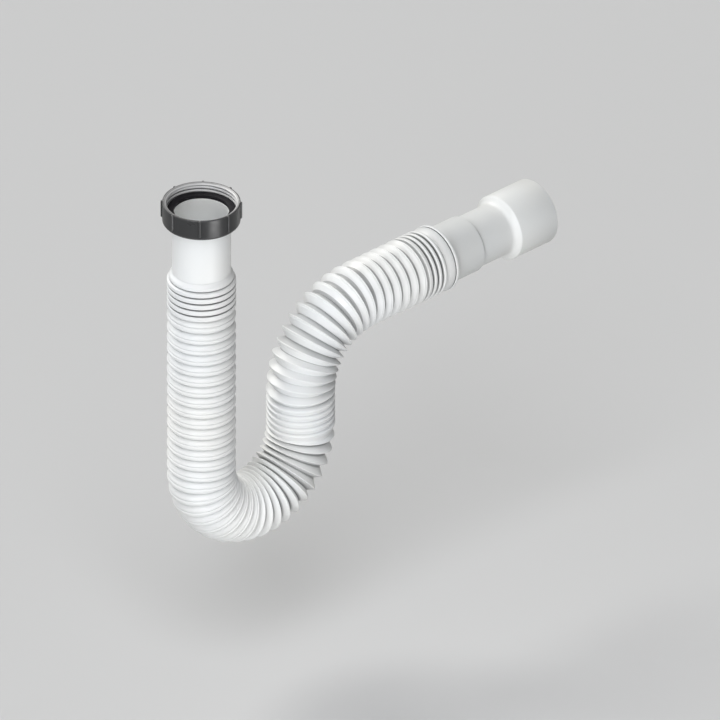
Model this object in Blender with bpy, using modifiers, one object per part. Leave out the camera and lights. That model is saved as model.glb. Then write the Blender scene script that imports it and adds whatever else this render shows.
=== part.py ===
"""Extendable flexible waste pipe: a union nut with its rubber washer and flanged sleeve, a corrugated
hose that drops, turns up and runs out level, and an outlet sleeve with a stepped adaptor. Metres, +Z up.
The origin is the centre of the washer's top face, the hose leaves downwards and the outlet points
along +X."""

from math import cos, pi, sin

import bmesh
import bpy
from mathutils import Matrix, Vector

# General
GAP = 0.0003  # between two pieces that touch
FITTING_SIDES = 40  # sides of a turned fitting
HOSE_SIDES = 20  # sides of the hose

# Centreline: straight leg, U-bend, short rise, top bend, level run
LEG_LENGTH = 0.2209
U_BEND_RADIUS = 0.0495
RISE_LENGTH = 0.0273
TOP_BEND_RADIUS = 0.0578

# The two rigid sleeves, at the inlet and at the outlet
SLEEVE_RADIUS = 0.0217
SLEEVE_WALL = 0.0013
INLET_SLEEVE_SHOWN = 0.0508  # from the sealing face to the hose
OUTLET_SLEEVE_SHOWN = 0.0288  # from the hose to the sleeve's end
SLEEVE_END_CHAMFER = 0.0007
FLANGE_WIDTH = 0.0036
FLANGE_THICKNESS = 0.0032

# Sealing washer
WASHER_OVERHANG = 0.0002  # past the flange's edge
WASHER_THICKNESS = 0.0029

# Coupling nut
NUT_WALL = 0.0029
NUT_ABOVE_SEAL = 0.0068
NUT_LIP_THICKNESS = 0.0035
NUT_FOOT_ROUND = 0.0022
NUT_TOP_EDGE = 0.0003
MOUTH_CHAMFER = 0.0013
RIB_COUNT = 8
RIB_WIDTH = 0.0018
RIB_HEIGHT = 0.0012
RIB_LENGTH = 0.0138
FIRST_RIB_ANGLE = 0.0

# Hose
HOSE_WALL = 0.0009
COLLAR_DEPTH = 0.0024  # of the folded grooves that grip a sleeve
OPEN_DEPTH = 0.0048  # of an open corrugation
SHOULDER_LENGTH = 0.0067
SHOULDER_FLARE = 0.0047  # the part of it that widens
SHOULDER_RIM = 0.0008  # its edge stands this far above the first groove
END_BAND_LENGTH = 0.0078
END_LIP_LENGTH = 0.0032
END_LIP_HEIGHT = 0.0004
END_LIP_GROOVE = 0.0007
COLLAR_COUNT = 5
COLLAR_PITCH = 0.0051
FIRST_PITCH = 0.0110
LEG_COUNT = 14
LEG_PITCH = 0.0090
U_DOWN_COUNT = 8
U_UP_COUNT = 11
U_PITCH = 0.00811
NESTED_COUNT = 5
NESTED_PITCH = 0.0052
BEND_COUNT = 12
BEND_PITCH = 0.0076
RUN_COUNT = 6
RUN_PITCH = 0.0085
END_COUNT = 4
END_PITCH = 0.00475
U_UP_CREST_SHARE = 0.30  # how far along its pitch a corrugation's crest lies
UPPER_CREST_SHARE = 0.66

# Outlet adaptor
SPIGOT_INSERTION = 0.0220
SPIGOT_SHOWN = 0.0250  # from the sleeve's end to the step
ADAPTOR_WALL = 0.0018
STEP_LENGTH = 0.0095
CUFF_RADIUS = 0.0250
CUFF_LENGTH = 0.0350
CUFF_END_EDGE = 0.0005

# The outlet swings about a point on the level run
PIVOT_INTO_RUN = 0.0080  # from the end of the top bend


def around(radius, sides):
    """Corner radius of a faceted bore whose flats lie at the given radius."""
    return radius / cos(pi / sides)


# Radii that follow the sleeve's
BORE_RADIUS = SLEEVE_RADIUS - SLEEVE_WALL
FLANGE_RADIUS = SLEEVE_RADIUS + FLANGE_WIDTH
WASHER_RADIUS = FLANGE_RADIUS + WASHER_OVERHANG
NUT_BORE_RADIUS = around(WASHER_RADIUS + GAP, FITTING_SIDES)
NUT_RADIUS = NUT_BORE_RADIUS + NUT_WALL
LIP_BORE_RADIUS = around(SLEEVE_RADIUS + GAP, FITTING_SIDES)
HOSE_MOUTH_RADIUS = around(SLEEVE_RADIUS + GAP, HOSE_SIDES)
COLLAR_GROOVE_RADIUS = HOSE_MOUTH_RADIUS + HOSE_WALL
HOSE_CREST_RADIUS = COLLAR_GROOVE_RADIUS + COLLAR_DEPTH
HOSE_GROOVE_RADIUS = HOSE_CREST_RADIUS - OPEN_DEPTH
SPIGOT_RADIUS = BORE_RADIUS * cos(pi / FITTING_SIDES) - GAP

# Groups of corrugations from the inlet on: count, pitch, groove radius, share of the pitch to the crest
CORRUGATIONS = (
    (COLLAR_COUNT, COLLAR_PITCH, COLLAR_GROOVE_RADIUS, 0.5),
    (1, FIRST_PITCH, HOSE_GROOVE_RADIUS, 0.5),
    (LEG_COUNT, LEG_PITCH, HOSE_GROOVE_RADIUS, 0.5),
    (U_DOWN_COUNT, U_PITCH, HOSE_GROOVE_RADIUS, 0.5),
    (U_UP_COUNT, U_PITCH, HOSE_GROOVE_RADIUS, U_UP_CREST_SHARE),
    (NESTED_COUNT, NESTED_PITCH, HOSE_GROOVE_RADIUS, 0.5),
    (BEND_COUNT, BEND_PITCH, HOSE_GROOVE_RADIUS, UPPER_CREST_SHARE),
    (RUN_COUNT, RUN_PITCH, HOSE_GROOVE_RADIUS, UPPER_CREST_SHARE),
    (END_COUNT, END_PITCH, COLLAR_GROOVE_RADIUS, 0.5),
)

# Places along the centreline, measured from the sealing face
HOSE_START = INLET_SLEEVE_SHOWN
FIRST_GROOVE = HOSE_START + SHOULDER_LENGTH
INLET_SLEEVE_END = FIRST_GROOVE + (COLLAR_COUNT - 1) * COLLAR_PITCH
LAST_GROOVE = FIRST_GROOVE + sum(count * pitch for count, pitch, _, _ in CORRUGATIONS)
OUTLET_SLEEVE_START = LAST_GROOVE - END_COUNT * END_PITCH
END_LIP_START = LAST_GROOVE + END_BAND_LENGTH
HOSE_END = END_LIP_START + END_LIP_LENGTH
U_BEND_END = LEG_LENGTH + pi * U_BEND_RADIUS
TOP_BEND_START = U_BEND_END + RISE_LENGTH
RUN_START = TOP_BEND_START + pi / 2 * TOP_BEND_RADIUS

# Heights at the union
FLANGE_TOP = -WASHER_THICKNESS - GAP
FLANGE_FOOT = FLANGE_TOP - FLANGE_THICKNESS
LIP_TOP = FLANGE_FOOT - GAP
NUT_FOOT = LIP_TOP - NUT_LIP_THICKNESS


def centreline(s):
    """Point on the centreline, s metres from the sealing face, and its slope angle in the XZ plane."""
    far_leg_x = 2 * U_BEND_RADIUS
    top_bend_z = RISE_LENGTH - LEG_LENGTH
    if s <= LEG_LENGTH:
        return Vector((0, 0, -s)), -pi / 2
    if s <= U_BEND_END:
        turn = (s - LEG_LENGTH) / U_BEND_RADIUS
        x = U_BEND_RADIUS * (1 - cos(turn))
        return Vector((x, 0, -LEG_LENGTH - U_BEND_RADIUS * sin(turn))), turn - pi / 2
    if s <= TOP_BEND_START:
        return Vector((far_leg_x, 0, s - U_BEND_END - LEG_LENGTH)), pi / 2
    if s <= RUN_START:
        turn = (s - TOP_BEND_START) / TOP_BEND_RADIUS
        x = far_leg_x + TOP_BEND_RADIUS * (1 - cos(turn))
        return Vector((x, 0, top_bend_z + TOP_BEND_RADIUS * sin(turn))), pi / 2 - turn
    x = far_leg_x + TOP_BEND_RADIUS + s - RUN_START
    return Vector((x, 0, top_bend_z + TOP_BEND_RADIUS)), 0.0


def station(s):
    """Matrix that carries what is turned about Z, downstream pointing down, to the centreline at s."""
    point, slope = centreline(s)
    return Matrix.Translation(point) @ Matrix.Rotation(-pi / 2 - slope, 4, "Y")


def arc(centre, radius, start, stop, count):
    """Points (radius, z) on an arc about centre, between two angles, both ends included."""
    step = (stop - start) / (count - 1)
    angles = [start + step * index for index in range(count)]
    return [(centre[0] + radius * cos(a), centre[1] + radius * sin(a)) for a in angles]


def empty_scene():
    for obj in list(bpy.data.objects):
        bpy.data.objects.remove(obj, do_unlink=True)


def new_collection(name):
    collection = bpy.data.collections.new(name)
    bpy.context.scene.collection.children.link(collection)
    return collection


def plain_material(name, colour, roughness):
    material = bpy.data.materials.new(name)
    material.use_nodes = True
    shader = material.node_tree.nodes["Principled BSDF"]
    shader.inputs["Base Color"].default_value = (*colour, 1.0)
    shader.inputs["Roughness"].default_value = roughness
    shader.inputs["Metallic"].default_value = 0.0
    return material


def turned(name, outer, inner, sides, collection, material):
    """Object turned about Z: outer and inner are (radius, z) points, each running from top to bottom."""
    profile = outer + inner[::-1]
    mesh = bpy.data.meshes.new(name)
    edges = [(index, (index + 1) % len(profile)) for index in range(len(profile))]
    mesh.from_pydata([(radius, 0, z) for radius, z in profile], edges, [])
    mesh.materials.append(material)
    obj = bpy.data.objects.new(name, mesh)
    collection.objects.link(obj)
    screw = obj.modifiers.new("turn", "SCREW")
    screw.steps = screw.render_steps = sides
    screw.use_merge_vertices = True
    screw.merge_threshold = 0.00001
    return obj


def apply_modifiers(obj):
    graph = bpy.context.evaluated_depsgraph_get()
    mesh = bpy.data.meshes.new_from_object(obj.evaluated_get(graph))
    obj.modifiers.clear()
    obj.data = mesh
    mesh.shade_smooth()
    mesh.set_sharp_from_angle(angle=pi / 6)


def sealing_washer(collection):
    rubber = plain_material("black_rubber", (0.012, 0.012, 0.014), 0.6)
    outer = [(WASHER_RADIUS, 0), (WASHER_RADIUS, -WASHER_THICKNESS)]
    inner = [(BORE_RADIUS, 0), (BORE_RADIUS, -WASHER_THICKNESS)]
    return turned("sealing_washer", outer, inner, FITTING_SIDES, collection, rubber)


def inlet_sleeve(collection):
    white = plain_material("sleeve_white", (0.86, 0.87, 0.88), 0.38)
    outer = [
        (FLANGE_RADIUS, FLANGE_TOP),
        (FLANGE_RADIUS, FLANGE_FOOT),
        (SLEEVE_RADIUS, FLANGE_FOOT),
        (SLEEVE_RADIUS, -INLET_SLEEVE_END),
    ]
    inner = [(BORE_RADIUS, FLANGE_TOP), (BORE_RADIUS, -INLET_SLEEVE_END)]
    return turned("inlet_sleeve", outer, inner, FITTING_SIDES, collection, white)


def nut_rib(angle):
    """Grip rib: an upright bar with a round lower end, rooted in the middle of the nut's wall."""
    half = RIB_WIDTH / 2
    top = NUT_ABOVE_SEAL - NUT_TOP_EDGE
    foot = NUT_ABOVE_SEAL - RIB_LENGTH + half
    outline = [(half, top), (-half, top)] + arc((0, foot), half, pi, 2 * pi, 7)
    root = NUT_RADIUS - NUT_WALL / 2
    rib = bmesh.new()
    face = rib.faces.new([rib.verts.new((root, y, z)) for y, z in outline])
    grown = bmesh.ops.extrude_face_region(rib, geom=[face])["geom"]
    front = [item for item in grown if isinstance(item, bmesh.types.BMVert)]
    bmesh.ops.translate(rib, verts=front, vec=(NUT_RADIUS + RIB_HEIGHT - root, 0, 0))
    bmesh.ops.recalc_face_normals(rib, faces=rib.faces)
    turn = Matrix.Rotation(angle, 3, "Z")
    bmesh.ops.rotate(rib, verts=rib.verts, cent=(0, 0, 0), matrix=turn)
    mesh = bpy.data.meshes.new("nut_rib")
    rib.to_mesh(mesh)
    rib.free()
    return mesh


def nut_ribs(collection):
    """All ribs as one helper object, which the nut is joined with."""
    joined = bmesh.new()
    for index in range(RIB_COUNT):
        mesh = nut_rib(FIRST_RIB_ANGLE + 2 * pi * index / RIB_COUNT)
        joined.from_mesh(mesh)
        bpy.data.meshes.remove(mesh)
    mesh = bpy.data.meshes.new("nut_ribs")
    joined.to_mesh(mesh)
    joined.free()
    ribs = bpy.data.objects.new("nut_ribs", mesh)
    ribs.hide_render = True
    ribs.display_type = "WIRE"
    collection.objects.link(ribs)
    return ribs


def coupling_nut(collection, helpers):
    grey = plain_material("nut_grey", (0.09, 0.09, 0.095), 0.42)
    foot_centre = (NUT_RADIUS - NUT_FOOT_ROUND, NUT_FOOT + NUT_FOOT_ROUND)
    outer = [
        (NUT_RADIUS - NUT_TOP_EDGE, NUT_ABOVE_SEAL),
        (NUT_RADIUS, NUT_ABOVE_SEAL - NUT_TOP_EDGE),
    ]
    outer += arc(foot_centre, NUT_FOOT_ROUND, 0, -pi / 2, 5)
    inner = [
        (NUT_BORE_RADIUS + MOUTH_CHAMFER, NUT_ABOVE_SEAL),
        (NUT_BORE_RADIUS, NUT_ABOVE_SEAL - MOUTH_CHAMFER),
        (NUT_BORE_RADIUS, LIP_TOP),
        (LIP_BORE_RADIUS, LIP_TOP),
        (LIP_BORE_RADIUS, NUT_FOOT),
    ]
    nut = turned("coupling_nut", outer, inner, FITTING_SIDES, collection, grey)
    join = nut.modifiers.new("ribs", "BOOLEAN")
    join.operation = "UNION"
    join.object = nut_ribs(helpers)
    return nut


def corrugation_sides():
    """Outer and inner profile points of all corrugations, of the straightened hose."""
    outer, inner = [], []
    groove_place = FIRST_GROOVE
    for count, pitch, groove_radius, crest_share in CORRUGATIONS:
        for _ in range(count):
            crest_z = -groove_place - crest_share * pitch
            outer += [(groove_radius, -groove_place), (HOSE_CREST_RADIUS, crest_z)]
            inner += [
                (groove_radius - HOSE_WALL, -groove_place),
                (HOSE_CREST_RADIUS - HOSE_WALL, crest_z),
            ]
            groove_place += pitch
    return outer, inner


def hose_sides():
    """Outer and inner profile of the straightened hose, as (radius, z) points from top to bottom."""
    rim_radius = COLLAR_GROOVE_RADIUS + SHOULDER_RIM
    half_rise = (rim_radius - HOSE_MOUTH_RADIUS) / 2
    half_turns = [pi * index / 4 for index in range(5)]
    outer = [
        (HOSE_MOUTH_RADIUS + half_rise * (1 - cos(turn)), -HOSE_START - SHOULDER_FLARE * turn / pi)
        for turn in half_turns
    ]
    outer += [(rim_radius, -FIRST_GROOVE + SHOULDER_RIM)]
    inner = [(HOSE_MOUTH_RADIUS, -HOSE_START - HOSE_WALL)]
    outer_folds, inner_folds = corrugation_sides()
    band_radius = HOSE_CREST_RADIUS - END_LIP_HEIGHT
    band_inside = band_radius - END_LIP_GROOVE - HOSE_WALL
    outer += outer_folds + [
        (COLLAR_GROOVE_RADIUS, -LAST_GROOVE),
        (band_radius, -LAST_GROOVE - END_PITCH / 2),
        (band_radius, -END_LIP_START + END_LIP_GROOVE),
        (band_radius - END_LIP_GROOVE, -END_LIP_START),
        (HOSE_CREST_RADIUS, -END_LIP_START - END_LIP_GROOVE),
        (HOSE_CREST_RADIUS, -HOSE_END),
    ]
    inner += inner_folds + [
        (HOSE_MOUTH_RADIUS, -LAST_GROOVE),
        (band_inside, -LAST_GROOVE - END_PITCH / 2),
        (band_inside, -HOSE_END + 2 * HOSE_WALL),
        (HOSE_MOUTH_RADIUS, -HOSE_END + HOSE_WALL),
        (HOSE_MOUTH_RADIUS, -HOSE_END),
    ]
    return outer, inner


def corrugated_hose(collection):
    """The hose is turned straight, then every ring of its points is carried to the centreline."""
    white = plain_material("hose_white", (0.86, 0.87, 0.88), 0.35)
    outer, inner = hose_sides()
    hose = turned("corrugated_hose", outer, inner, HOSE_SIDES, collection, white)
    apply_modifiers(hose)
    for vertex in hose.data.vertices:
        across = Vector((vertex.co.x, vertex.co.y, 0))
        vertex.co = station(-vertex.co.z) @ across
    return hose


def outlet_sleeve(collection):
    """Heights are measured down from the hose's end."""
    white = plain_material("outlet_sleeve_white", (0.82, 0.83, 0.83), 0.42)
    top = HOSE_END - OUTLET_SLEEVE_START
    foot = -OUTLET_SLEEVE_SHOWN
    outer = [
        (SLEEVE_RADIUS, top),
        (SLEEVE_RADIUS, foot + SLEEVE_END_CHAMFER),
        (SLEEVE_RADIUS - SLEEVE_END_CHAMFER, foot),
    ]
    inner = [(BORE_RADIUS, top), (BORE_RADIUS, foot)]
    return turned("outlet_sleeve", outer, inner, FITTING_SIDES, collection, white)


def outlet_adaptor(collection):
    """Spigot that enters the outlet sleeve, a rounded step and a wider cuff, down from the hose's end."""
    white = plain_material("adaptor_white", (0.80, 0.81, 0.81), 0.42)
    top = -OUTLET_SLEEVE_SHOWN + SPIGOT_INSERTION
    step_top = -OUTLET_SLEEVE_SHOWN - SPIGOT_SHOWN
    step_foot = step_top - STEP_LENGTH
    end = step_foot - CUFF_LENGTH
    half_rise = (CUFF_RADIUS - SPIGOT_RADIUS) / 2
    half_step = STEP_LENGTH / 2
    quarter = [pi / 2 * index / 3 for index in range(4)]
    hollow = [
        (SPIGOT_RADIUS + half_rise * (1 - cos(turn)), step_top - half_step * sin(turn))
        for turn in quarter
    ]
    crown = [
        (SPIGOT_RADIUS + half_rise * (1 + sin(turn)), step_foot + half_step * cos(turn))
        for turn in quarter[1:]
    ]
    outer = [(SPIGOT_RADIUS, top)] + hollow + crown
    outer += [(CUFF_RADIUS, end + CUFF_END_EDGE), (CUFF_RADIUS - CUFF_END_EDGE, end)]
    inner = [
        (SPIGOT_RADIUS - ADAPTOR_WALL, top),
        (SPIGOT_RADIUS - ADAPTOR_WALL, step_top - ADAPTOR_WALL),
        (CUFF_RADIUS - ADAPTOR_WALL, step_foot - ADAPTOR_WALL),
        (CUFF_RADIUS - ADAPTOR_WALL, end),
    ]
    return turned("outlet_adaptor", outer, inner, FITTING_SIDES, collection, white)


def outlet_pivot(collection):
    """Empty on the axis that the outlet swings about."""
    pivot = bpy.data.objects.new("outlet_pivot", None)
    pivot.location = centreline(RUN_START + PIVOT_INTO_RUN)[0]
    collection.objects.link(pivot)
    return pivot


def main():
    empty_scene()
    pieces = new_collection("flexible_waste_pipe")
    helpers = new_collection("helpers")
    at_inlet = [
        sealing_washer(pieces),
        inlet_sleeve(pieces),
        coupling_nut(pieces, helpers),
        corrugated_hose(pieces),
    ]
    at_outlet = [outlet_sleeve(pieces), outlet_adaptor(pieces)]
    for obj in at_inlet + at_outlet:
        apply_modifiers(obj)
    pivot = outlet_pivot(pieces)
    bpy.context.view_layer.update()
    for obj in at_outlet:
        obj.parent = pivot
        obj.matrix_world = station(HOSE_END)


main()
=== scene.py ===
"""Looks of the extendable flexible waste pipe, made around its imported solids. Metres, +Z up. The pipe
drops from the union nut at the origin, turns up through a U-bend and runs out level along +X."""

from collections import namedtuple
from math import cos, pi, radians, sin

import bpy
import numpy as np
from mathutils import Euler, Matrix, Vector

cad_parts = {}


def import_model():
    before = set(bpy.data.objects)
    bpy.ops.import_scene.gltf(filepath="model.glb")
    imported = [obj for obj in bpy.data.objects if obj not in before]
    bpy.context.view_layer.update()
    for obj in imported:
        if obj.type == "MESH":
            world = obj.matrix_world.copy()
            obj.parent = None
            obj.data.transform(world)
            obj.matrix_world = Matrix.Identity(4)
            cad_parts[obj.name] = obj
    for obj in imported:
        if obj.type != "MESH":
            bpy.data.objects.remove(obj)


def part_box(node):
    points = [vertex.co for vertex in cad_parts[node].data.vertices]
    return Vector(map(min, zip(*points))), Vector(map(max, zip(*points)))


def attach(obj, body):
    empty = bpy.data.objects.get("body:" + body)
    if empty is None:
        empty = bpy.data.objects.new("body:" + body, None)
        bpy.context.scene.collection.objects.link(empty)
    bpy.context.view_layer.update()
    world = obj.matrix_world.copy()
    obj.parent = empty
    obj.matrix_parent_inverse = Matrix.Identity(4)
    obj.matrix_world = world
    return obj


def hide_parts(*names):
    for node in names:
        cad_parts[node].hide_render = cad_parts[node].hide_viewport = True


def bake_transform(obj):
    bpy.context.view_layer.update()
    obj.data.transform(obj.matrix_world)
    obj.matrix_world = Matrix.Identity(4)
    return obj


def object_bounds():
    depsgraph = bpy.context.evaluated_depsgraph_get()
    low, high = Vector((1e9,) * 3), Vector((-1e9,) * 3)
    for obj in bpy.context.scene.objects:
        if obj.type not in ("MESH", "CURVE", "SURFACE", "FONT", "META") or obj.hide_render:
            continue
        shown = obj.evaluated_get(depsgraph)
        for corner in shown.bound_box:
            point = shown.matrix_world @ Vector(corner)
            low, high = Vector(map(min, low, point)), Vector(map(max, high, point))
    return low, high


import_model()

CAD_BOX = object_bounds()
MM = 0.001

# Centreline, as in the solids: straight leg, U-bend, short rise, top bend, level run
LEG_LENGTH = 220.9 * MM
U_BEND_RADIUS = 49.5 * MM
RISE_LENGTH = 27.3 * MM
TOP_BEND_RADIUS = 57.8 * MM
U_BEND_BOTTOM = LEG_LENGTH + pi / 2 * U_BEND_RADIUS
U_BEND_END = LEG_LENGTH + pi * U_BEND_RADIUS
TOP_BEND_START = U_BEND_END + RISE_LENGTH
RUN_START = TOP_BEND_START + pi / 2 * TOP_BEND_RADIUS
RUN_X = 2 * U_BEND_RADIUS + TOP_BEND_RADIUS

# Places along the centreline, from the sealing face, read from the solids
WASHER_FOOT = -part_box("sealing_washer")[0].z
FLANGE_TOP = -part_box("inlet_sleeve")[1].z
INLET_SLEEVE_END = -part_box("inlet_sleeve")[0].z
NUT_TOP = -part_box("coupling_nut")[1].z
NUT_FOOT = -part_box("coupling_nut")[0].z
HOSE_START = -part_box("corrugated_hose")[1].z
HOSE_END = RUN_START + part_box("corrugated_hose")[1].x - RUN_X
OUTLET_SLEEVE_START = RUN_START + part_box("outlet_sleeve")[0].x - RUN_X
OUTLET_SLEEVE_END = RUN_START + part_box("outlet_sleeve")[1].x - RUN_X
SPIGOT_START = RUN_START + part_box("outlet_adaptor")[0].x - RUN_X
CUFF_END = RUN_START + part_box("outlet_adaptor")[1].x - RUN_X

# Radii
WASHER_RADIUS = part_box("sealing_washer")[1].x
FLANGE_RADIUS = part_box("inlet_sleeve")[1].x
SLEEVE_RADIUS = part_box("outlet_sleeve")[1].y
CUFF_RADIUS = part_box("outlet_adaptor")[1].y
NUT_RIB_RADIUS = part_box("coupling_nut")[1].x
BORE_RADIUS = 20.4 * MM
SPIGOT_RADIUS = 20.03 * MM
ADAPTOR_WALL = 1.8 * MM
NUT_RADIUS = NUT_RIB_RADIUS - 1.2 * MM
NUT_BORE_RADIUS = 25.85 * MM

# Sides of the rings
FITTING_SIDES = 144
HOSE_SIDES = 120

# Sizes of the hose, which has a shoulder at its start, then corrugations, an end band and a lip
HOSE_MOUTH_RADIUS = 22.05 * MM
HOSE_CREST_RADIUS = 25.43 * MM
HOSE_WALL = 0.8 * MM
SHOULDER_RADIUS = HOSE_CREST_RADIUS - 1.6 * MM
SHOULDER_LENGTH = 4.2 * MM
FIRST_GROOVE = HOSE_START + 6.4 * MM
BAND_RADIUS = HOSE_CREST_RADIUS - 0.3 * MM
BAND_LENGTH = 7.8 * MM
LIP_RADIUS = HOSE_CREST_RADIUS + 0.1 * MM

# Flanks of a corrugation, from its groove to its crest: share of the flank's length, share of the groove's
# depth, and share of the groove's painted shade, which darkens groove floors, creases and flanks turned from
# the lamps. SLOPE and OPEN_SLOPE end in CREASED_TOP, which has a crease with painted shade just before the
# crest's bead, as BEAD_ABOVE and BEAD_NESTED do.
CREASED_TOP = (
    (0.54, 0.60, 0.0), (0.74, 0.82, 0.0), (0.82, 0.89, 0.0), (0.855, 0.86, 0.3), (0.89, 0.91, 0.0),
    (0.95, 0.985, 0.0),
)
SLOPE = ((0.00, 0.00, 1.0), (0.04, 0.05, 0.3), (0.12, 0.13, 0.0), (0.32, 0.35, 0.0), *CREASED_TOP)
OPEN_SLOPE = ((0.00, 0.00, 1.0), (0.12, 0.13, 1.0), (0.23, 0.26, 1.0), (0.28, 0.31, 0.0), *CREASED_TOP)
SHADED_SLOPE = (
    (0.00, 0.00, 1.0), (0.05, 0.06, 1.0), (0.14, 0.15, 0.8), (0.24, 0.26, 0.2), (0.55, 0.60, 0.0),
    (0.80, 0.87, 0.0), (0.95, 0.985, 0.0),
)
HOOK = (
    (0.00, 0.00, 1.0), (0.08, 0.05, 1.0), (0.18, 0.15, 0.8), (0.50, 0.50, 0.5), (0.82, 0.86, 0.4),
    (0.93, 0.97, 0.0),
)
OPEN_HOOK = (
    (0.00, 0.00, 1.0), (0.08, 0.05, 0.9), (0.20, 0.17, 0.5), (0.34, 0.33, 0.0), (0.82, 0.86, 0.0),
    (0.93, 0.97, 0.0),
)
BEAD_ABOVE = (
    (0.00, 0.00, 1.0), (0.05, 0.12, 0.4), (0.12, 0.30, 0.0), (0.25, 0.50, 0.0), (0.42, 0.68, 0.0),
    (0.56, 0.80, 0.0), (0.64, 0.84, 0.0), (0.68, 0.75, 1.0), (0.715, 0.76, 1.0), (0.76, 0.90, 0.0),
    (0.87, 0.99, 0.0),
)
BEAD_BELOW = (
    (0.00, 0.00, 1.0), (0.12, 0.08, 0.8), (0.26, 0.30, 0.5), (0.42, 0.62, 0.2), (0.58, 0.86, 0.0),
    (0.72, 0.96, 0.0), (0.86, 0.99, 0.0),
)
BEAD_NESTED = (
    (0.00, 0.00, 1.0), (0.06, 0.20, 0.5), (0.12, 0.48, 0.0), (0.20, 0.62, 0.0), (0.60, 0.74, 0.0),
    (0.68, 0.70, 0.5), (0.76, 0.88, 0.0), (0.86, 0.98, 0.0),
)
GRIP_TOP = ((0.30, 0.93, 0.0), (0.42, 0.985, 0.0), (0.70, 1.00, 0.0))
GRIP = ((0.00, 0.00, 1.0), (0.14, 0.02, 1.0), (0.19, 0.30, 1.0), (0.24, 0.75, 0.6), *GRIP_TOP)
RIM_GRIP = ((0.00, 0.00, 1.0), (0.14, 0.02, 1.0), (0.19, 0.30, 0.6), (0.22, 0.60, 0.0), *GRIP_TOP)
GAP = (
    (0.00, 0.00, 1.0), (0.22, 0.02, 1.0), (0.30, 0.30, 1.0), (0.38, 0.65, 0.5), (0.48, 0.84, 0.0),
    (0.64, 0.95, 0.0), (0.82, 0.99, 0.0),
)

# Folds: groove's depth, share of the pitch at which the crest lies, flank before and after the crest,
# darkness of the shade painted on the groove's floor
Fold = namedtuple("Fold", "depth crest_share before after darkness")
RIM_FOLD = Fold(3.0 * MM, 0.50, RIM_GRIP, GRIP, 0.85)
COLLAR_FOLD = Fold(3.0 * MM, 0.50, GRIP, GRIP, 0.85)
LEG_FOLD = Fold(3.8 * MM, 0.60, BEAD_ABOVE, BEAD_BELOW, 0.30)
TURN_FOLD = Fold(5.0 * MM, 0.52, OPEN_HOOK, SHADED_SLOPE, 0.90)
RISING_FOLD = Fold(5.0 * MM, 0.36, HOOK, SHADED_SLOPE, 0.65)
NESTED_FOLD = Fold(2.6 * MM, 0.68, BEAD_NESTED, BEAD_BELOW, 0.15)
LOWER_FOLD = Fold(5.2 * MM, 0.60, SLOPE, HOOK, 0.20)
UPPER_FOLD = Fold(5.4 * MM, 0.58, SLOPE, HOOK, 0.70)
ARCH_FOLD = Fold(4.8 * MM, 0.66, OPEN_SLOPE, HOOK, 0.45)
RUN_FOLD = Fold(4.2 * MM, 0.72, OPEN_SLOPE, HOOK, 0.60)
SHALLOW_FOLD = Fold(2.0 * MM, 0.50, GRIP, GAP, 0.50)
END_FOLD = Fold(3.0 * MM, 0.50, GAP, GAP, 0.90)

# Folds that lie on a sleeve, with a plain bore
SLEEVED_FOLDS = (RIM_FOLD, COLLAR_FOLD, SHALLOW_FOLD, END_FOLD)

# Groups of corrugations from the inlet on: count, pitch, fold
CORRUGATIONS = (
    (1, 4.6 * MM, RIM_FOLD),
    (4, 5.1 * MM, COLLAR_FOLD),
    (1, 11.8 * MM, LEG_FOLD),
    (14, 9.0 * MM, LEG_FOLD),
    (8, 8.11 * MM, LEG_FOLD),
    (6, 8.11 * MM, TURN_FOLD),
    (5, 8.11 * MM, RISING_FOLD),
    (5, 5.2 * MM, NESTED_FOLD),
    (4, 7.6 * MM, LOWER_FOLD),
    (5, 7.6 * MM, UPPER_FOLD),
    (3, 7.6 * MM, ARCH_FOLD),
    (6, 8.5 * MM, RUN_FOLD),
    (1, 4.75 * MM, SHALLOW_FOLD),
    (3, 4.75 * MM, END_FOLD),
)

# Edges in millimetres: distance out from the shoulder or the band, place after the first groove, the last
# groove or the lip's start, and share of the groove's painted shade
SHOULDER_EDGE = ((0.03, -1.3, 0.0), (0.0, -0.8, 0.0), (-0.25, -0.4, 0.0), (-0.9, -0.2, 0.5))
BAND_EDGE = ((-2.3, 0.0, 1.0), (-2.2, 0.4, 0.5), (-1.9, 0.7, 0.0), (-1.6, 1.5, 0.0))
LIP_EDGE = (
    (0.0, -0.8, 0.0), (-0.1, -0.6, 0.0), (-0.7, -0.5, 1.0), (-0.7, 0.2, 1.0), (-0.2, 0.3, 1.0),
    (0.1, 0.4, 0.0),
)


def path_arrays(s):
    """Centreline points and the in-plane normals at arc lengths s, as arrays."""
    u_turn = np.clip((s - LEG_LENGTH) / U_BEND_RADIUS, 0, pi)
    top_turn = np.clip((s - TOP_BEND_START) / TOP_BEND_RADIUS, 0, pi / 2)
    slope = u_turn - pi / 2 - top_turn
    along_leg = np.minimum(s, LEG_LENGTH)
    along_rise = np.clip(s - U_BEND_END, 0, RISE_LENGTH)
    along_run = np.maximum(s - RUN_START, 0)
    x = U_BEND_RADIUS * (1 - np.cos(u_turn)) + TOP_BEND_RADIUS * (1 - np.cos(top_turn)) + along_run
    z = -along_leg - U_BEND_RADIUS * np.sin(u_turn) + along_rise + TOP_BEND_RADIUS * np.sin(top_turn)
    points = np.stack([x, np.zeros_like(x), z], 1)
    normals = np.stack([-np.sin(slope), np.zeros_like(x), np.cos(slope)], 1)
    return points, normals


def even_angles(count):
    return np.arange(count) * 2 * pi / count


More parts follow.
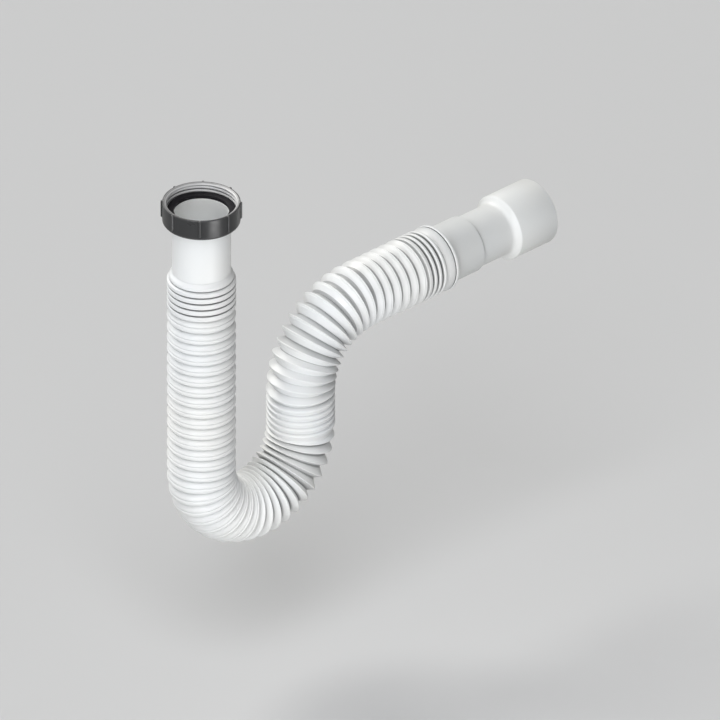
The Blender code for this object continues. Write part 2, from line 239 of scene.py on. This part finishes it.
def swept(name, outer, inner, angles, relief=None):
    """Closed piece round the centreline. outer and inner are (radius, place) or (radius, place, tone) points
    that run downstream. A tone, else 0, is how far the material turns to its painted groove shade, or on the
    nut to its bore's colour.
    relief adds to the radii, as a function of radius, place and angle."""
    loop = np.array([(*point, 0.0)[:3] for point in list(outer) + list(inner)[::-1]])
    radius, place = loop[:, :1], loop[:, 1:2]
    if relief:
        radius = radius + relief(radius, place, angles[None, :])
    else:
        radius = np.repeat(radius, len(angles), 1)
    points, normals = path_arrays(loop[:, 1])
    across = np.cos(angles)[None, :, None] * normals[:, None, :]
    across = across + np.sin(angles)[None, :, None] * np.array([0.0, 1.0, 0.0])
    verts = points[:, None, :] + radius[:, :, None] * across
    rings, sides = radius.shape
    ring, side = np.meshgrid(np.arange(rings), np.arange(sides), indexing="ij")
    next_ring, next_side = (ring + 1) % rings, (side + 1) % sides
    faces = np.stack(
        [
            ring * sides + side,
            next_ring * sides + side,
            next_ring * sides + next_side,
            ring * sides + next_side,
        ],
        2,
    ).reshape(-1, 4)
    mesh = bpy.data.meshes.new(name)
    mesh.from_pydata(verts.reshape(-1, 3).tolist(), [], faces.tolist())
    mesh.shade_smooth()
    tones = mesh.attributes.new("tone", "FLOAT", "POINT")
    tones.data.foreach_set("value", np.repeat(loop[:, 2], sides).astype(np.float32))
    obj = bpy.data.objects.new(name, mesh)
    bpy.context.scene.collection.objects.link(obj)
    return obj


def round_corner(centre, radius, start, stop, count=6):
    """Points (radius, place) on an arc about centre; angle 0 points outwards and 90 degrees downstream."""
    turns = np.radians(np.linspace(start, stop, count))
    return [(centre[0] + radius * cos(t), centre[1] + radius * sin(t)) for t in turns]


# Materials

HOSE_WHITE = (0.86, 0.87, 0.88)
SLEEVE_WHITE = (0.91, 0.92, 0.925)
OUTLET_WHITE = (0.80, 0.81, 0.81)
# Painted shade: the colour that groove floors, creases and flanks turned from the lamps darken to
PAINTED_GROOVE_SHADE = (0.08, 0.085, 0.09)
WARM_DRIFT = (1.005, 1.0, 0.985)
COOL_DRIFT = (0.985, 0.995, 1.005)

NUT_GREY = (0.05, 0.05, 0.054)
NUT_FRESH = (0.028, 0.029, 0.031)
# Colour of sharp edges: wear polished by the hand and a painted highlight
NUT_WEAR_AND_SHEEN = (0.20, 0.20, 0.205)
NUT_BORE_COLOUR = (0.66, 0.66, 0.67)

RUBBER_BLACK = (0.012, 0.011, 0.014)
RUBBER_DARK = (0.010, 0.009, 0.012)
RUBBER_SPECK = (0.024, 0.022, 0.028)

# How far the nut's colour turns to its bore's: fully in the bore, falling to ROOT_TONE over the last
# ROOT_HEIGHT before the thread's roots, where the dark grey left is painted shade, and RIM_TONE at the rim
ROOT_TONE = 0.15
ROOT_HEIGHT = 0.6 * MM
RIM_TONE = 0.6

# Sockets of a colour mix node
MIX_FACTOR, MIX_FIRST, MIX_SECOND, MIX_RESULT = 0, 6, 7, 2


def new_material(name, colour, roughness):
    material = bpy.data.materials.new(name)
    material.use_nodes = True
    shader = material.node_tree.nodes["Principled BSDF"]
    shader.inputs["Base Color"].default_value = (*colour, 1)
    shader.inputs["Roughness"].default_value = roughness
    return material, shader


def add_node(material, kind, **settings):
    node = material.node_tree.nodes.new(kind)
    for key, value in settings.items():
        setattr(node, key, value)
    return node


def link(material, output, target):
    material.node_tree.links.new(output, target)


def noise(material, scale, detail=3.0):
    where = add_node(material, "ShaderNodeTexCoord")
    texture = add_node(material, "ShaderNodeTexNoise")
    texture.inputs["Scale"].default_value = scale
    texture.inputs["Detail"].default_value = detail
    link(material, where.outputs["Object"], texture.inputs["Vector"])
    return texture.outputs["Fac"]


def spread(material, value, source, result):
    """Value mapped from the range source to the range result."""
    ranged = add_node(material, "ShaderNodeMapRange")
    for socket, number in zip(("From Min", "From Max", "To Min", "To Max"), (*source, *result)):
        ranged.inputs[socket].default_value = number
    link(material, value, ranged.inputs["Value"])
    return ranged.outputs["Result"]


def mix_towards(material, shader, factor, colour):
    """Base colour that turns to colour by factor. Returns the socket of what it turns from."""
    mix = add_node(material, "ShaderNodeMix", data_type="RGBA")
    mix.inputs[MIX_SECOND].default_value = (*colour, 1)
    link(material, factor, mix.inputs[MIX_FACTOR])
    link(material, mix.outputs[MIX_RESULT], shader.inputs["Base Color"])
    return mix.inputs[MIX_FIRST]


def tint(material, shader, factor, first, second):
    """Base colour that goes from first to second by factor."""
    mix_towards(material, shader, factor, second).default_value = (*first, 1)


def retone(material, shader, factor, colour):
    """Turns the base colour, once tinted, to another one by factor."""
    base = shader.inputs["Base Color"].links[0].from_socket
    link(material, base, mix_towards(material, shader, factor, colour))


def ring_tone(material):
    return add_node(material, "ShaderNodeAttribute", attribute_name="tone").outputs["Fac"]


def times(material, first, second):
    product = add_node(material, "ShaderNodeMath", operation="MULTIPLY")
    link(material, first, product.inputs[0])
    link(material, second, product.inputs[1])
    return product.outputs[0]


def axis_distance(material):
    """Distance from the nut's axis."""
    where = add_node(material, "ShaderNodeTexCoord")
    flat = add_node(material, "ShaderNodeVectorMath", operation="MULTIPLY")
    flat.inputs[1].default_value = (1, 1, 0)
    length = add_node(material, "ShaderNodeVectorMath", operation="LENGTH")
    link(material, where.outputs["Object"], flat.inputs[0])
    link(material, flat.outputs["Vector"], length.inputs[0])
    return length.outputs["Value"]


def patchy_gloss(material, shader, scale, low, high):
    gloss = spread(material, noise(material, scale), (0.3, 0.7), (low, high))
    link(material, gloss, shader.inputs["Roughness"])


def bump(material, shader, height, strength, distance):
    node = add_node(material, "ShaderNodeBump")
    node.inputs["Strength"].default_value = strength
    node.inputs["Distance"].default_value = distance
    link(material, height, node.inputs["Height"])
    link(material, node.outputs["Normal"], shader.inputs["Normal"])


def white_plastic(name, colour, roughness):
    """Moulded polypropylene: slow warm and cool drift, patchy gloss, a fine orange peel and shade painted by
    the ring tone.
    """
    material, shader = new_material(name, colour, roughness)
    warm, cool = (tuple(np.multiply(colour, drift)) for drift in (WARM_DRIFT, COOL_DRIFT))
    patches = spread(material, noise(material, scale=14, detail=2), (0.35, 0.65), (0, 1))
    tint(material, shader, patches, warm, cool)
    patchy_gloss(material, shader, scale=60, low=roughness - 0.05, high=roughness + 0.06)
    bump(material, shader, noise(material, scale=900, detail=2), strength=0.12, distance=0.06 * MM)
    # Painted shade in grooves, creases, flanks and joints, by the ring tone
    retone(material, shader, ring_tone(material), PAINTED_GROOVE_SHADE)
    return material


def nut_plastic():
    """Dark polypropylene with a fine grain, sharp edges lighter as polished by the hand and as a painted
    highlight, and a lighter thread with painted shade in its roots.
    """
    material, shader = new_material("nut_plastic", NUT_GREY, roughness=0.38)
    geometry = add_node(material, "ShaderNodeNewGeometry")
    # Sharp edges turn lighter, partly as wear and partly as a painted highlight
    wear_and_sheen = spread(material, geometry.outputs["Pointiness"], (0.50, 0.62), (0, 1))
    tint(material, shader, wear_and_sheen, NUT_FRESH, NUT_WEAR_AND_SHEEN)
    root = NUT_BORE_RADIUS + THREAD_DEPTH
    # The thread's roots stay dark grey as painted shade
    thread = spread(material, axis_distance(material), (root - ROOT_HEIGHT, root), (1, ROOT_TONE))
    retone(material, shader, times(material, ring_tone(material), thread), NUT_BORE_COLOUR)
    patchy_gloss(material, shader, scale=120, low=0.27, high=0.36)
    bump(material, shader, noise(material, scale=1500, detail=2), strength=0.15, distance=0.06 * MM)
    return material


def washer_rubber():
    """Matt black rubber with a fine grey speck."""
    material, shader = new_material("washer_rubber", RUBBER_BLACK, roughness=0.55)
    shader.inputs["Specular IOR Level"].default_value = 0.25
    speck = spread(material, noise(material, scale=700, detail=4), (0.45, 0.75), (0, 1))
    tint(material, shader, speck, RUBBER_DARK, RUBBER_SPECK)
    patchy_gloss(material, shader, scale=200, low=0.48, high=0.66)
    bump(material, shader, noise(material, scale=1100), strength=0.25, distance=0.08 * MM)
    return material


# Hose


def each_corrugation():
    """Groove's place, pitch and fold of each corrugation, and the last groove's place."""
    folds, place = [], FIRST_GROOVE
    for count, pitch, fold in CORRUGATIONS:
        for _ in range(count):
            folds.append((place, pitch, fold))
            place += pitch
    return folds, place


FOLDS, LAST_GROOVE = each_corrugation()
SPLIT_INDEX = min(range(len(FOLDS)), key=lambda index: abs(FOLDS[index][0] - U_BEND_BOTTOM))
LIP_START = LAST_GROOVE + BAND_LENGTH


def corrugation(groove_place, pitch, fold):
    """Outer (radius, place, tone) points of one corrugation, from its own groove up to the next one. The
    tone is painted shade.
    """
    rise, fall = fold.crest_share * pitch, (1 - fold.crest_share) * pitch
    points = [(share * rise, height, tone) for share, height, tone in fold.before] + [(rise, 1.0, 0.0)]
    points += [(pitch - share * fall, height, tone) for share, height, tone in fold.after[:0:-1]]
    return [
        (HOSE_CREST_RADIUS - fold.depth * (1 - height), groove_place + along, fold.darkness * tone)
        for along, height, tone in points
    ]


def hose_rows(folds):
    """Outer and inner points of some of the corrugations."""
    outer, inner = [], []
    for place, pitch, fold in folds:
        outer += corrugation(place, pitch, fold)
        if fold in SLEEVED_FOLDS:
            inner.append((HOSE_MOUTH_RADIUS, place))
        else:
            inner.append((HOSE_CREST_RADIUS - fold.depth - HOSE_WALL, place))
            inner.append((HOSE_CREST_RADIUS - HOSE_WALL, place + fold.crest_share * pitch))
    return outer, inner


def edge_rows(edge, radius, place, fold):
    """Points of an edge about a radius and a place, with painted shade as dark as the fold's beside it."""
    return [(radius + out * MM, place + along * MM, fold.darkness * tone) for out, along, tone in edge]


def split_ring():
    """The groove where the hose's two pieces meet."""
    place, _, fold = FOLDS[SPLIT_INDEX]
    radius = HOSE_CREST_RADIUS - fold.depth
    return (radius, place, fold.darkness), (radius - HOSE_WALL, place)


def hose_inlet_half():
    """Shoulder that flares from the sleeve, then all corrugations down to the bottom of the U-bend."""
    root = SLEEVE_RADIUS + 0.05 * MM
    flare = SHOULDER_RADIUS - root
    steps = 10
    shares = [step / steps for step in range(steps + 1)]
    outer = [(root + flare * (1 - cos(pi * t)) / 2, HOSE_START + SHOULDER_LENGTH * t) for t in shares]
    outer += edge_rows(SHOULDER_EDGE, SHOULDER_RADIUS, FIRST_GROOVE, RIM_FOLD)
    inner = [(root - 0.02 * MM, HOSE_START), (HOSE_MOUTH_RADIUS, HOSE_START + 1.5 * MM)]
    folds_outer, folds_inner = hose_rows(FOLDS[:SPLIT_INDEX])
    ring_outer, ring_inner = split_ring()
    return swept(
        "hose_inlet_half",
        outer + folds_outer + [ring_outer],
        inner + folds_inner + [ring_inner],
        even_angles(HOSE_SIDES),
    )


def hose_outlet_half():
    """Corrugations from the bottom of the U-bend on, then the end band and its lip."""
    folds_outer, folds_inner = hose_rows(FOLDS[SPLIT_INDEX:])
    start_round, end_round = 0.5 * MM, 1.0 * MM
    outer = folds_outer + edge_rows(BAND_EDGE, BAND_RADIUS, LAST_GROOVE, END_FOLD)
    outer += edge_rows(LIP_EDGE, BAND_RADIUS, LIP_START, END_FOLD)
    outer += round_corner((LIP_RADIUS - start_round, LIP_START + 1.0 * MM), start_round, -60, 0, 4)
    outer += round_corner((LIP_RADIUS - end_round, HOSE_END - end_round), end_round, 0, 90)
    inner = folds_inner + [(HOSE_MOUTH_RADIUS, LAST_GROOVE), (HOSE_MOUTH_RADIUS, HOSE_END)]
    return swept("hose_outlet_half", outer, inner, even_angles(HOSE_SIDES))


# Union

NUT_RIBS = 8
NUT_SECTOR = 2 * pi / NUT_RIBS
RIB_HALF_WIDTH = 0.9 * MM
RIB_HEIGHT = NUT_RIB_RADIUS - NUT_RADIUS
RIB_END = NUT_TOP + 13.8 * MM
NUT_TOP_ROUND = 0.5 * MM
NUT_FOOT_ROUND = 2.2 * MM
NUT_ROW_STEP = 0.45 * MM

# Stretch round a rib where the nut's angles lie close, and steps in it and between two of them
CLOSE_HALF_WIDTH = 1.6 * RIB_HALF_WIDTH
CLOSE_STEPS = 16
WIDE_STEPS = 15

# Thread, whose floor and flanks are shares of its pitch, and the nut's mouth and lip
THREAD_PITCH = 2.9 * MM
THREAD_DEPTH = 1.0 * MM
THREAD_FLOOR = 0.175
THREAD_FLANK = 0.25
THREAD_ROW_STEP = 0.22 * MM
THREAD_FADE = 1.0 * MM
MOUTH_WIDENING = 1.6 * MM
NUT_LIP_TOP = NUT_FOOT - 3.5 * MM
NUT_LIP_CLEARANCE = 0.35 * MM
THREAD_START = NUT_TOP + 1.4 * MM
THREAD_END = NUT_LIP_TOP - 1.0 * MM


def nut_angles():
    """Angles round the nut, close together at each rib."""
    half = CLOSE_HALF_WIDTH / NUT_RADIUS
    near = np.linspace(-half, half, CLOSE_STEPS + 1)
    between = np.linspace(half, NUT_SECTOR - half, WIDE_STEPS + 1)[1:-1]
    one = np.concatenate([near, between])
    return np.concatenate([one + NUT_SECTOR * index for index in range(NUT_RIBS)])


def rib_relief(radius, place, angle):
    """Ribs with a rounded back and end, on the nut's wall and the round at its top."""
    across = ((angle + NUT_SECTOR / 2) % NUT_SECTOR - NUT_SECTOR / 2) * NUT_RADIUS
    past_end = np.maximum(place - RIB_END + RIB_HALF_WIDTH, 0)
    distance = np.clip(np.hypot(across, past_end) / RIB_HALF_WIDTH, 0, 1)
    outside = radius > NUT_RADIUS - NUT_TOP_ROUND - 0.1 * MM
    return RIB_HEIGHT * (1 - distance**3) ** 0.6 * outside


def thread_relief(radius, place, angle):
    """Thread cut into the nut's bore, shallower at both its ends."""
    phase = (place + THREAD_PITCH * angle / (2 * pi)) / THREAD_PITCH % 1
    tooth = np.clip((THREAD_FLOOR / 2 + THREAD_FLANK - np.abs(phase - 0.5)) / THREAD_FLANK, 0, 1)
    fade_in = np.clip((place - THREAD_START) / THREAD_FADE, 0, 1)
    fade_out = np.clip((THREAD_END - place) / THREAD_FADE, 0, 1)
    in_bore = np.abs(radius - NUT_BORE_RADIUS) < 0.05 * MM
    return THREAD_DEPTH * tooth * fade_in * fade_out * in_bore


def nut_relief(radius, place, angle):
    return rib_relief(radius, place, angle) + thread_relief(radius, place, angle)


def coupling_nut():
    top, foot = NUT_TOP_ROUND, NUT_FOOT_ROUND
    outer = round_corner((NUT_RADIUS - top, NUT_TOP + top), top, -90, 0, 5)
    rows = np.arange(NUT_TOP + top + 0.4 * MM, NUT_FOOT - foot - 0.2 * MM, NUT_ROW_STEP)
    outer += [(NUT_RADIUS, place) for place in rows]
    outer += round_corner((NUT_RADIUS - foot, NUT_FOOT - foot), foot, 0, 90, 9)
    inner = [
        (NUT_BORE_RADIUS + MOUTH_WIDENING, NUT_TOP, RIM_TONE / ROOT_TONE),
        (NUT_BORE_RADIUS + 0.2 * MM, NUT_TOP + 1.0 * MM, 1),
    ]
    thread_rows = np.arange(NUT_TOP + 1.2 * MM, NUT_LIP_TOP, THREAD_ROW_STEP)
    inner += [(NUT_BORE_RADIUS, place, 1) for place in thread_rows]
    inner += [(SLEEVE_RADIUS + NUT_LIP_CLEARANCE, place) for place in (NUT_LIP_TOP, NUT_FOOT)]
    nut = swept("nut_with_thread", outer, inner, nut_angles(), nut_relief)
    nut.data.set_sharp_from_angle(angle=radians(50))
    return nut


def sealing_washer():
    edge = 0.35 * MM
    outer = round_corner((WASHER_RADIUS - edge, edge), edge, -90, 0, 5)
    outer += round_corner((WASHER_RADIUS - edge, WASHER_FOOT - edge), edge, 0, 90, 5)
    inner = round_corner((BORE_RADIUS + edge, edge), edge, -90, -180, 5)
    inner += round_corner((BORE_RADIUS + edge, WASHER_FOOT - edge), edge, 180, 90, 5)
    return swept("rubber_washer", outer, inner, even_angles(FITTING_SIDES))


def inlet_sleeve():
    flange_foot = FLANGE_TOP + 3.2 * MM
    root = 0.6 * MM
    edge = 0.4 * MM
    outer = round_corner((FLANGE_RADIUS - edge, FLANGE_TOP + edge), edge, -90, 0, 4)
    outer += round_corner((FLANGE_RADIUS - edge, flange_foot - edge), edge, 0, 90, 4)
    outer += round_corner((SLEEVE_RADIUS + root, flange_foot + root), root, -90, -180, 4)
    outer += [(SLEEVE_RADIUS, INLET_SLEEVE_END)]
    inner = [(BORE_RADIUS + edge, FLANGE_TOP)]
    inner += [(BORE_RADIUS, place) for place in (FLANGE_TOP + edge, INLET_SLEEVE_END)]
    sleeve = swept("sleeve_at_inlet", outer, inner, even_angles(FITTING_SIDES))
    sleeve.data.set_sharp_from_angle(angle=radians(40))
    return sleeve


# Outlet

STEP_START = OUTLET_SLEEVE_END + 25.0 * MM
STEP_LENGTH = 9.5 * MM
STEP_LEAN = 2.6
STEP_ROWS = 25

# Darkness of the shade painted at the joint: of the spigot up to a little past the sleeve, and of the
# sleeve's round end by ring
JOINT_SHADE_TONE = 0.6
SLEEVE_END_SHADE_TONES = (0, 0, 0.2, 0.5, 0.7, 0.7)


def outlet_sleeve():
    lip = 0.9 * MM
    corner = round_corner((SLEEVE_RADIUS - lip, OUTLET_SLEEVE_END - lip), lip, 0, 80, len(SLEEVE_END_SHADE_TONES))
    outer = [(SLEEVE_RADIUS, OUTLET_SLEEVE_START)]
    # Painted shade on the sleeve's round end at the joint
    outer += [(*point, tone) for point, tone in zip(corner, SLEEVE_END_SHADE_TONES)]
    inner = [(BORE_RADIUS, OUTLET_SLEEVE_START), (BORE_RADIUS, OUTLET_SLEEVE_END)]
    sleeve = swept("sleeve_at_outlet", outer, inner, even_angles(FITTING_SIDES))
    sleeve.data.set_sharp_from_angle(angle=radians(40))
    return sleeve


def outlet_adaptor():
    """Spigot, step and cuff. The step starts as a long hollow and ends as a short crown."""
    rise = CUFF_RADIUS - SPIGOT_RADIUS
    edge = 0.5 * MM
    # Painted shade on the spigot at the joint with the sleeve
    outer = [
        (SPIGOT_RADIUS, SPIGOT_START, JOINT_SHADE_TONE),
        (SPIGOT_RADIUS, OUTLET_SLEEVE_END + 0.5 * MM, JOINT_SHADE_TONE),
        (SPIGOT_RADIUS, OUTLET_SLEEVE_END + 1.3 * MM),
    ]
    for share in np.linspace(0, 1, STEP_ROWS):
        leaning = share**STEP_LEAN
        eased = leaning**2 * (3 - 2 * leaning)
        outer.append((SPIGOT_RADIUS + rise * eased, STEP_START + STEP_LENGTH * share))
    outer += round_corner((CUFF_RADIUS - edge, CUFF_END - edge), edge, 0, 90, 5)
    inner = [
        (SPIGOT_RADIUS - ADAPTOR_WALL, SPIGOT_START),
        (SPIGOT_RADIUS - ADAPTOR_WALL, STEP_START + STEP_LENGTH / 2),
        (CUFF_RADIUS - ADAPTOR_WALL, STEP_START + STEP_LENGTH + ADAPTOR_WALL),
        (CUFF_RADIUS - ADAPTOR_WALL, CUFF_END),
    ]
    adaptor = swept("stepped_adaptor", outer, inner, even_angles(FITTING_SIDES))
    adaptor.data.set_sharp_from_angle(angle=radians(35))
    return adaptor


# Studio

VIEW_TURN = radians(42.8)
VIEW_TILT = radians(30.75)
PIXELS = 720
PIXELS_PER_METRE = 1365.0
ORIGIN_PIXEL = (201.4, 209.3)
CAMERA_DISTANCE = 1.5
CAMERA_REACH = 20

# Floor, lit in one colour and seen by the camera in another
FLOOR_DEPTH = 0.10
FLOOR_REACH = 6.0
FLOOR_COLOUR = (0.45, 0.45, 0.45)
FLOOR_SEEN = (0.632, 0.638, 0.651)

WARM = (1.0, 0.985, 0.94)
COOL = (0.98, 0.995, 1.0)
WHITE = (1.0, 1.0, 1.0)

# Lamps: direction towards the lamp, strength, angular size in degrees, colour
LAMPS = {
    "key": ((-0.90, -0.40, 0.03), 2.15, 40, COOL),
    "high": ((-0.45, -0.35, 0.82), 1.30, 40, WHITE),
    "back": ((0.00, 0.75, 0.65), 2.15, 40, WARM),
}
WORLD_STRENGTH = 0.10

# Soft box low in front, whose reflection lies on the nut
BOX_PLACE = (-0.04, -0.51, -0.30)
BOX_WIDTH = 0.24
BOX_HEIGHT = 0.12
BOX_POWER = 0.7


def camera():
    data = bpy.data.cameras.new("camera")
    data.type = "ORTHO"
    data.ortho_scale = PIXELS / PIXELS_PER_METRE
    data.clip_end = CAMERA_REACH
    turn = Euler((pi / 2 - VIEW_TILT, 0, -VIEW_TURN))
    right, up, back = (turn.to_matrix() @ Vector(axis) for axis in ((1, 0, 0), (0, 1, 0), (0, 0, 1)))
    across = (PIXELS / 2 - ORIGIN_PIXEL[0]) / PIXELS_PER_METRE
    upwards = (ORIGIN_PIXEL[1] - PIXELS / 2) / PIXELS_PER_METRE
    obj = bpy.data.objects.new("camera", data)
    obj.rotation_euler = turn
    obj.location = right * across + up * upwards + back * CAMERA_DISTANCE
    bpy.context.scene.collection.objects.link(obj)
    bpy.context.scene.camera = obj


def floor():
    mesh = bpy.data.meshes.new("floor")
    side, height = FLOOR_REACH, CAD_BOX[0].z - FLOOR_DEPTH
    corners = [(-side, -side, height), (side, -side, height), (side, side, height), (-side, side, height)]
    mesh.from_pydata(corners, [], [(0, 1, 2, 3)])
    obj = bpy.data.objects.new("floor", mesh)
    bpy.context.scene.collection.objects.link(obj)
    material, shader = new_material("floor", FLOOR_COLOUR, roughness=0.9)
    shader.inputs["Specular IOR Level"].default_value = 0.0
    path = add_node(material, "ShaderNodeLightPath")
    tint(material, shader, path.outputs["Is Camera Ray"], FLOOR_COLOUR, FLOOR_SEEN)
    mesh.materials.append(material)


def add_lamp(name, kind, towards):
    data = bpy.data.lights.new(name, kind)
    obj = bpy.data.objects.new(name, data)
    obj.rotation_euler = Vector(towards).to_track_quat("Z", "Y").to_euler()
    bpy.context.scene.collection.objects.link(obj)
    return obj


def lamps():
    for name, (towards, strength, size, colour) in LAMPS.items():
        lamp = add_lamp(name, "SUN", towards)
        lamp.data.energy = strength
        lamp.data.angle = radians(size)
        lamp.data.color = colour
    box = add_lamp("front_box", "AREA", BOX_PLACE)
    box.location = BOX_PLACE
    box.data.shape = "RECTANGLE"
    box.data.size = BOX_WIDTH
    box.data.size_y = BOX_HEIGHT
    box.data.energy = BOX_POWER
    box.visible_camera = False


def world():
    made = bpy.data.worlds.new("studio")
    bpy.context.scene.world = made
    made.use_nodes = True
    background = made.node_tree.nodes["Background"]
    background.inputs["Color"].default_value = (*WHITE, 1)
    background.inputs["Strength"].default_value = WORLD_STRENGTH


def dress(obj, material, slot, *nodes):
    obj.data.materials.append(material)
    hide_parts(*nodes)


def main():
    camera()
    floor()
    lamps()
    world()
    hose_white = white_plastic("hose_plastic", HOSE_WHITE, roughness=0.38)
    sleeve_white = white_plastic("sleeve_plastic", SLEEVE_WHITE, roughness=0.36)
    outlet_white = white_plastic("outlet_plastic", OUTLET_WHITE, roughness=0.42)
    inlet_half, outlet_half = hose_inlet_half(), hose_outlet_half()
    dress(inlet_half, hose_white, "hose_plastic", "corrugated_hose")
    dress(outlet_half, hose_white, "hose_plastic", "corrugated_hose")
    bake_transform(inlet_half)
    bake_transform(outlet_half)
    riders = (
        (coupling_nut(), nut_plastic(), "nut_plastic", "coupling_nut", "nut"),
        (sealing_washer(), washer_rubber(), "washer_rubber", "sealing_washer", "inlet"),
        (inlet_sleeve(), sleeve_white, "sleeve_plastic", "inlet_sleeve", "inlet"),
        (outlet_sleeve(), outlet_white, "outlet_plastic", "outlet_sleeve", "outlet"),
        (outlet_adaptor(), outlet_white, "outlet_plastic", "outlet_adaptor", "outlet"),
    )
    for obj, material, slot, node, body in riders:
        dress(obj, material, slot, node)
        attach(obj, body)
    bpy.context.scene.view_settings.view_transform = "Standard"


main()
